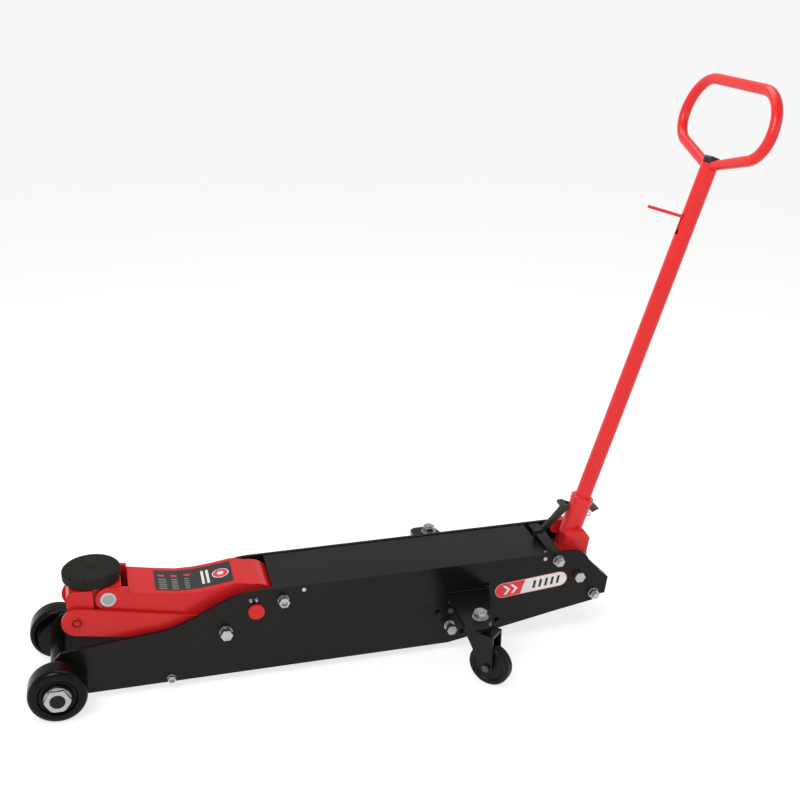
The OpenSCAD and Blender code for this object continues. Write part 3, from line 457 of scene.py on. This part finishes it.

# ---- the link's front pins: a collar, a flat dark disc of painted recess shade, a hexagon head ----

link_low, link_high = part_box("link_pins")
link_x, link_z = (link_low[0] + link_high[0]) / 2, (link_low[2] + link_high[2]) / 2
COLLAR_R = 0.0132
# (radius, depth below the pin's face) of a thin flat disc painted dark as the shade of a recess
painted_shade_profile = [(0.0116, 0.0004), (0.0116, -0.0004), (0.002, -0.0004), (0.002, 0.0004)]
head_profile = [(0.0078, 0.0006), (0.0078, -0.0012), (0.0072, -0.0018), (0.0042, -0.0018),
                (0.0034, -0.0006), (0.0001, -0.0006), (0.0001, 0.0006)]
for side, where in SIDES:
    face = link_low[1] if side < 0 else link_high[1]
    pin, outward = Vector((link_x, face, link_z)), Vector((0, side, 0))
    collar = [Vector((link_x + COLLAR_R * math.cos(t), face - side * 0.0006,
                      link_z + COLLAR_R * math.sin(t))) for t in circle(48)]
    verts, faces = tube(collar, 0.0021, 10)
    new_piece("link_pin_collar_" + where, verts, faces, "link", "red_paint", smooth=True)
    painted_shade_disc = lathe("link_pin_painted_shade_" + where, painted_shade_profile, pin, outward, "link", "red_paint",
                   48)
    # Painted shade: the flat disc is coloured dark red where a recess would lie in shadow
    painted_shade_disc.data.materials[0] = painted_shade_red
    head = lathe("link_pin_hex_" + where, head_profile, pin, outward, "link", "red_paint", 6)
    head.data.polygons.foreach_set("use_smooth", [False] * len(head.data.polygons))

# ---- label on the arm's top plate ----

arm_low, arm_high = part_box("arm_top_plate")
arm_tree = tree_of("arm_top_plate")
arm_span = arm_high[0] - arm_low[0]


def on_arm(x, y):
    hit, normal, _, _ = arm_tree.ray_cast(Vector((x, y, arm_high[2] + 0.1)), Vector((0, 0, -1)))
    return hit, normal


def arm_x(share):
    return arm_low[0] + share * arm_span


label_x0, label_x1 = arm_x(0.183), arm_x(0.728)
label_len = label_x1 - label_x0
label = box_ribbon(label_x0, label_x1, -0.05, 0.05, 40)
film("arm_label", [label], on_arm, "lift_arm", ink_black, 0.0003)


def label_bars(name, bars, made):
    """bars are (start, end, low, high), the first two as shares of the label's length."""
    film(name, [box_ribbon(label_x0 + a * label_len, label_x0 + b * label_len, low, high, 3)
                for a, b, low, high in bars], on_arm, "lift_arm", made, 0.0005)


# Three columns of short bars of three lengths, a red mark over each, and two long bars
COLUMN, COLUMN_PITCH, ROW_PITCH = 0.05, 0.165, 0.0092
small_bars = []
for column in range(3):
    for row in range(6):
        start = COLUMN + column * COLUMN_PITCH
        low = -0.043 + row * ROW_PITCH
        length_step = (row * 3 + column) % 3
        small_bars.append((start, start + 0.1 - 0.02 * length_step, low, low + 0.0028))
marks = [(COLUMN + c * COLUMN_PITCH, 0.13 + c * COLUMN_PITCH, 0.018, 0.026) for c in range(3)]
big_bars = [(0.6, 0.635, -0.034, 0.03), (0.665, 0.7, -0.034, 0.03)]
label_bars("arm_label_small_bars", small_bars, ink_grey)
label_bars("arm_label_marks", marks, ink_red)
label_bars("arm_label_big_bars", big_bars, ink_white)
badge_x = label_x0 + 0.85 * label_len
for name, radius, made, lift in (("arm_badge_rim", 0.021, ink_white, 0.0005),
                                 ("arm_badge", 0.0185, ink_red, 0.0007),
                                 ("arm_badge_dot", 0.008, ink_white, 0.0009)):
    film(name, [disc_ribbon(badge_x, radius)], on_arm, "lift_arm", made, lift)

# ---- pill-shaped stickers on the side plates ----

PILL_HALF, PILL_HIGH, PILL_TILT = 0.1, 0.021, math.radians(5)
PILL_RIM = 0.0018
pill_middle = (0.3786, 0.1635)
inner_half, inner_high = PILL_HALF - PILL_RIM, PILL_HIGH - PILL_RIM
ARROW_PITCH, SLANT_PITCH = 0.02, 0.0165


def on_side(side):
    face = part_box("side_plate_left")[0][1] if side < 0 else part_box("side_plate_right")[1][1]

    def place(u, v):
        x = pill_middle[0] + u * math.cos(PILL_TILT) - v * math.sin(PILL_TILT)
        z = pill_middle[1] + u * math.sin(PILL_TILT) + v * math.cos(PILL_TILT)
        return Vector((x, face, z)), Vector((0, side, 0))
    return place


for side, where in SIDES:
    place = on_side(side)
    film("sticker_rim_" + where, [pill_ribbon(PILL_HALF, PILL_HIGH)], place, "frame", ink_pink,
         0.0002)
    film("sticker_white_" + where, [pill_ribbon(inner_half, inner_high)], place, "frame", ink_white,
         0.0004)
    front = [row for row in pill_ribbon(inner_half, inner_high) if row[0] < -0.05]
    front += [(-0.032, -inner_high, inner_high), (-0.024, 0.0, inner_high),
              (-0.0165, inner_high - 0.002, inner_high)]
    film("sticker_red_" + where, [front], place, "frame", ink_red, 0.0006)
    arrows = [[(-0.013, -0.078 + ARROW_PITCH * i, -0.07 + ARROW_PITCH * i),
               (0.0, -0.066 + ARROW_PITCH * i, -0.058 + ARROW_PITCH * i),
               (0.013, -0.078 + ARROW_PITCH * i, -0.07 + ARROW_PITCH * i)] for i in range(2)]
    film("sticker_arrows_" + where, arrows, place, "frame", ink_white, 0.0008, turned=True)
    slants = [[(-0.011, 0.002 + SLANT_PITCH * i, 0.009 + SLANT_PITCH * i),
               (0.011, 0.008 + SLANT_PITCH * i, 0.015 + SLANT_PITCH * i)] for i in range(5)]
    film("sticker_slants_" + where, slants, place, "frame", ink_black, 0.0006, turned=True)

# ---- small ring behind the handle's socket ----

yoke_tree = tree_of("handle_yoke")
ring_z, ring_r, wire_r = 0.301, 0.0052, 0.0016
hit, _, _, _ = yoke_tree.ray_cast(Vector((0.8, 0.0, ring_z)), Vector((-1, 0, 0)))
ring_at = hit + Vector((ring_r * 1.5, 0, 0))
ring_line = [ring_at + ring_r * Vector((math.cos(t), 0, math.sin(t))) for t in circle(36)]
verts, faces = tube(ring_line, wire_r)
new_piece("socket_ring", verts, faces, "handle", "zinc", smooth=True)
shank_line = [hit - Vector((0.002, 0, 0)), hit + Vector((ring_r * 0.55, 0, 0))]
verts, faces = tube(shank_line, wire_r, closed=False)
new_piece("socket_ring_shank", verts, faces, "handle", "zinc", smooth=True)

# ---- welds: caster brackets on the side plates, cheeks under the arm's top plate ----

WELD_PARTS = 60
SHELF_THICK = 0.014
for side, where in SIDES:
    low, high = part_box("caster_bracket_" + where)
    flange_y = side * (abs(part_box("side_plate_left")[0][1]) + 0.008)
    shelf_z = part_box("kingpin_nuts")[0][2]
    for edge, z in (("top", shelf_z), ("under", shelf_z - SHELF_THICK)):
        line = []
        for i in range(WELD_PARTS + 1):
            x = low[0] + 0.004 + (high[0] - low[0] - 0.008) * i / WELD_PARTS
            line.append(Vector((x, flange_y, z)))
        bead("bracket_weld_%s_%s" % (edge, where), line, 0.0024, "frame", "black_paint")
    seam = []
    for i in range(WELD_PARTS + 1):
        x = arm_low[0] + 0.006 + (arm_span - 0.05) * i / WELD_PARTS
        below = Vector((x, side * 0.06, arm_low[2] - 0.1))
        hit, _, _, _ = arm_tree.ray_cast(below, Vector((0, 0, 1)))
        seam.append(Vector((x, side * (arm_high[1] - 0.0009), hit.z)))
    bead("arm_seam_" + where, seam, 0.0012, "lift_arm", "red_paint")

# ---------- light, floor, camera ----------

FLOOR_HALF = 90
floor_mesh = bpy.data.meshes.new("floor")
corners = [(-FLOOR_HALF, -FLOOR_HALF, 0), (FLOOR_HALF, -FLOOR_HALF, 0),
           (FLOOR_HALF, FLOOR_HALF, 0), (-FLOOR_HALF, FLOOR_HALF, 0)]
floor_mesh.from_pydata(corners, [], [(0, 1, 2, 3)])
floor = bpy.data.objects.new("floor", floor_mesh)
bpy.context.scene.collection.objects.link(floor)
pale, tree, shader, at = new_material("pale_floor")
cloud = noise(tree, at, 0.6, 2.0)
toned = mix(tree, cloud, (0.34, 0.34, 0.34), (0.37, 0.37, 0.368))
tree.links.new(toned, shader.inputs["Base Color"])
shader.inputs["Roughness"].default_value = 0.7
shader.inputs["Specular IOR Level"].default_value = 0.15
shader.inputs["Emission Color"].default_value = (1, 1, 1, 1)
shader.inputs["Emission Strength"].default_value = 0.74
floor_mesh.materials.append(pale)

# Warm white near the horizon, grey overhead
world = bpy.data.worlds.new("studio")
world.use_nodes = True
sky = world.node_tree
direction = sky.nodes.new("ShaderNodeTexCoord")
split = sky.nodes.new("ShaderNodeSeparateXYZ")
sky.links.new(direction.outputs["Generated"], split.inputs["Vector"])
climb = spread(sky, split.outputs["Z"], 0.0, 1.0, 0.0, 0.8)
tint = mix(sky, climb, (1.1, 1.08, 1.04), (0.34, 0.34, 0.345))
sky.links.new(tint, sky.nodes["Background"].inputs["Color"])
sky.nodes["Background"].inputs["Strength"].default_value = 0.9
bpy.context.scene.world = world


def softbox(name, place, look_at, width, height, power):
    lamp = bpy.data.lights.new(name, "AREA")
    lamp.shape = "RECTANGLE"
    lamp.size, lamp.size_y = width, height
    lamp.energy = power
    obj = bpy.data.objects.new(name, lamp)
    bpy.context.scene.collection.objects.link(obj)
    obj.location = place
    obj.rotation_mode = "QUATERNION"
    obj.rotation_quaternion = (Vector(look_at) - Vector(place)).to_track_quat("-Z", "Y")


softbox("key", (-1.6, -1.6, 3.4), (0, 0, 0.3), 2.2, 1.6, 86)
softbox("fill", (2.6, -2.6, 1.8), (0.2, 0, 0.5), 1.6, 1.6, 14)
softbox("top", (0.3, 1.2, 3.4), (0.1, 0, 0.2), 2.6, 1.4, 45)

# The photo's view: azimuth off the +Y axis, angle down, and a slight roll
EYE_AT = (-0.6511, -2.6049, 1.7443)
YAW, PITCH, ROLL = math.radians(14.92), math.radians(21.55), math.radians(0.49)
camera = bpy.data.cameras.new("camera")
camera.lens = 52.88
camera.sensor_width = 36
camera.clip_start, camera.clip_end = 0.05, 300
eye = bpy.data.objects.new("camera", camera)
bpy.context.scene.collection.objects.link(eye)
level = math.cos(PITCH)
forward = Vector((math.sin(YAW) * level, math.cos(YAW) * level, -math.sin(PITCH)))
right = Vector((math.cos(YAW), -math.sin(YAW), 0))
up = right.cross(forward)
across = math.cos(ROLL) * right + math.sin(ROLL) * up
upward = -math.sin(ROLL) * right + math.cos(ROLL) * up
turn = Matrix((across, upward, -forward)).transposed()
eye.matrix_world = Matrix.Translation(EYE_AT) @ turn.to_4x4()
bpy.context.scene.camera = eye
bpy.context.scene.view_settings.view_transform = "Standard"
